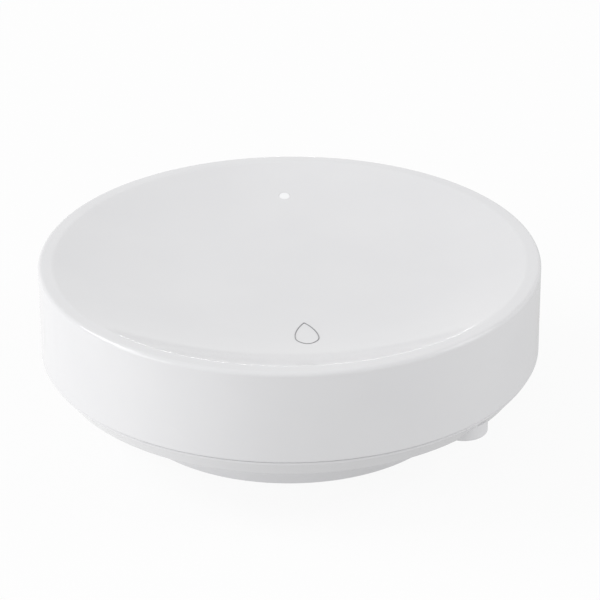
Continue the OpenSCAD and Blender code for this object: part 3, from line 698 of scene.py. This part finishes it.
# Floor, light and camera
# A white table in a bright room, brightest at its left, with soft boxes at the left, right and front
# and a small one behind. The camera stands in front, about 26 degrees above the table.
table_back, table_half, table_paint = 0.5, 3, (0.9, 0.9, 0.9, 1)
table_level, table_mirrored, bright_to, dim_from = 0.56, 0.15, -0.032, -0.002
white_lit, white_seen = 0.75, 0.9
room_level, room_mirrored = 0.62, 1.0
lamp_away = 1.2
camera_at, aim_at = Vector((0, -0.3782, 0.2044)), Vector((0, 0, 0.02166))
lens, sensor, photo_w = 180.576, 36, 600
shift_right, shift_down, roll = 10.25, 32.55, radians(0.23)

scene = bpy.context.scene
scene.view_settings.view_transform = "Standard"

ground = bmesh.new()
bmesh.ops.create_grid(ground, x_segments=1, y_segments=1, size=table_half)
bmesh.ops.translate(ground, verts=ground.verts, vec=(0, table_back, 0))
floor_mesh = bpy.data.meshes.new("floor")
ground.to_mesh(floor_mesh)
ground.free()
floor = bpy.data.objects.new("floor", floor_mesh)
scene.collection.objects.link(floor)
table = bpy.data.materials.new("white_table")
table.use_nodes = True
nodes, links = table.node_tree.nodes, table.node_tree.links
nodes.clear()


def backdrop_share(nodes, links, path, mirrored):
    """How far a ray meets the backdrop's white: fully from the camera, by a share in reflections
    and through clear pieces."""
    share = path.outputs["Is Camera Ray"]
    for ray in ("Is Glossy Ray", "Is Transmission Ray"):
        weigh = nodes.new("ShaderNodeMath")
        weigh.operation = "MULTIPLY"
        weigh.inputs[1].default_value = mirrored
        links.new(path.outputs[ray], weigh.inputs[0])
        more = nodes.new("ShaderNodeMath")
        more.operation = "MAXIMUM"
        links.new(share, more.inputs[0])
        links.new(weigh.outputs[0], more.inputs[1])
        share = more.outputs[0]
    return share


def between(nodes, links, share, low, high):
    """A level that goes from low to high with a share."""
    level = nodes.new("ShaderNodeMapRange")
    level.inputs["To Min"].default_value, level.inputs["To Max"].default_value = low, high
    links.new(share, level.inputs["Value"])
    return level.outputs["Result"]


paint = nodes.new("ShaderNodeBsdfDiffuse")
paint.inputs["Color"].default_value = table_paint
backdrop = nodes.new("ShaderNodeEmission")
clear = nodes.new("ShaderNodeBsdfTransparent")
path = nodes.new("ShaderNodeLightPath")
share = backdrop_share(nodes, links, path, table_mirrored)
place = nodes.new("ShaderNodeTexCoord")
along = nodes.new("ShaderNodeSeparateXYZ")
links.new(place.outputs["Object"], along.inputs["Vector"])
wash = nodes.new("ShaderNodeMapRange")
wash.inputs["From Min"].default_value, wash.inputs["From Max"].default_value = bright_to, dim_from
wash.inputs["To Min"].default_value, wash.inputs["To Max"].default_value = 1.0, table_level
links.new(along.outputs["X"], wash.inputs["Value"])
level = between(nodes, links, share, table_level, 1.0)
links.new(wash.outputs["Result"], level.node.inputs["To Min"])
links.new(level, backdrop.inputs["Strength"])
whiten = nodes.new("ShaderNodeMixShader")
links.new(between(nodes, links, share, white_lit, white_seen), whiten.inputs["Fac"])
links.new(paint.outputs[0], whiten.inputs[1])
links.new(backdrop.outputs[0], whiten.inputs[2])
# Seen from below, the table is clear, so that the underside shows.
facing = nodes.new("ShaderNodeNewGeometry")
below = nodes.new("ShaderNodeMath")
below.operation = "MULTIPLY"
links.new(facing.outputs["Backfacing"], below.inputs[0])
links.new(path.outputs["Is Camera Ray"], below.inputs[1])
through = nodes.new("ShaderNodeMixShader")
links.new(below.outputs[0], through.inputs["Fac"])
links.new(whiten.outputs[0], through.inputs[1])
links.new(clear.outputs[0], through.inputs[2])
links.new(through.outputs[0], nodes.new("ShaderNodeOutputMaterial").inputs["Surface"])
floor_mesh.materials.append(table)

world = bpy.data.worlds.new("room")
scene.world = world
world.use_nodes = True
nodes, links = world.node_tree.nodes, world.node_tree.links
nodes.clear()
room = nodes.new("ShaderNodeBackground")
room.inputs["Color"].default_value = (1, 1, 1, 1)
share = backdrop_share(nodes, links, nodes.new("ShaderNodeLightPath"), room_mirrored)
links.new(between(nodes, links, share, room_level, 1.0), room.inputs["Strength"])
links.new(room.outputs[0], nodes.new("ShaderNodeOutputWorld").inputs["Surface"])


def soft_box(name, azimuth, elevation, size, power):
    """A rectangular lamp that faces the sensor from a direction."""
    lamp = bpy.data.lights.new(name, "AREA")
    lamp.shape, lamp.size, lamp.size_y, lamp.energy = "RECTANGLE", *size, power
    box = bpy.data.objects.new(name, lamp)
    scene.collection.objects.link(box)
    a, e = radians(azimuth), radians(elevation)
    away = Vector((cos(e) * cos(a), cos(e) * sin(a), sin(e)))
    box.location = away * lamp_away + Vector((0, 0, case_h * mm))
    box.rotation_euler = away.to_track_quat("Z", "Y").to_euler()
    box.visible_camera = False
    return box


soft_box("key_box", 204, 12, size=(0.6, 0.4), power=2.3)
soft_box("upper_box", 174, 37, size=(0.6, 0.4), power=4.45)
soft_box("side_box", 0, 34, size=(0.6, 0.6), power=2.6)
soft_box("front_strip", 315, 5, size=(0.9, 0.07), power=0.7)
soft_box("back_strip", 90.2, 0.34, size=(0.085, 0.014), power=0.07)
# The front box isn't mirrored, or the dish would show it as a white patch from behind.
front_box = soft_box("front_box", 294, 10, size=(1.4, 0.42), power=1.15)
front_box.visible_glossy = False

focal = lens / sensor * photo_w
ahead = (aim_at - camera_at).normalized()
right = Vector((1, 0, 0))
up = right.cross(ahead)
ahead = (ahead + right * (shift_right / focal) - up * (shift_down / focal)).normalized()
right = ahead.cross(Vector((0, 0, 1))).normalized()
up = right.cross(ahead)
right, up = right * cos(roll) - up * sin(roll), right * sin(roll) + up * cos(roll)
camera = bpy.data.objects.new("camera", bpy.data.cameras.new("camera"))
scene.collection.objects.link(camera)
camera.data.lens, camera.data.sensor_width = lens, sensor
camera.data.clip_start, camera.data.clip_end = 0.01, 20
camera.matrix_world = Matrix((right, up, -ahead)).transposed().to_4x4()
camera.location = camera_at
scene.camera = camera

bpy.context.view_layer.update()
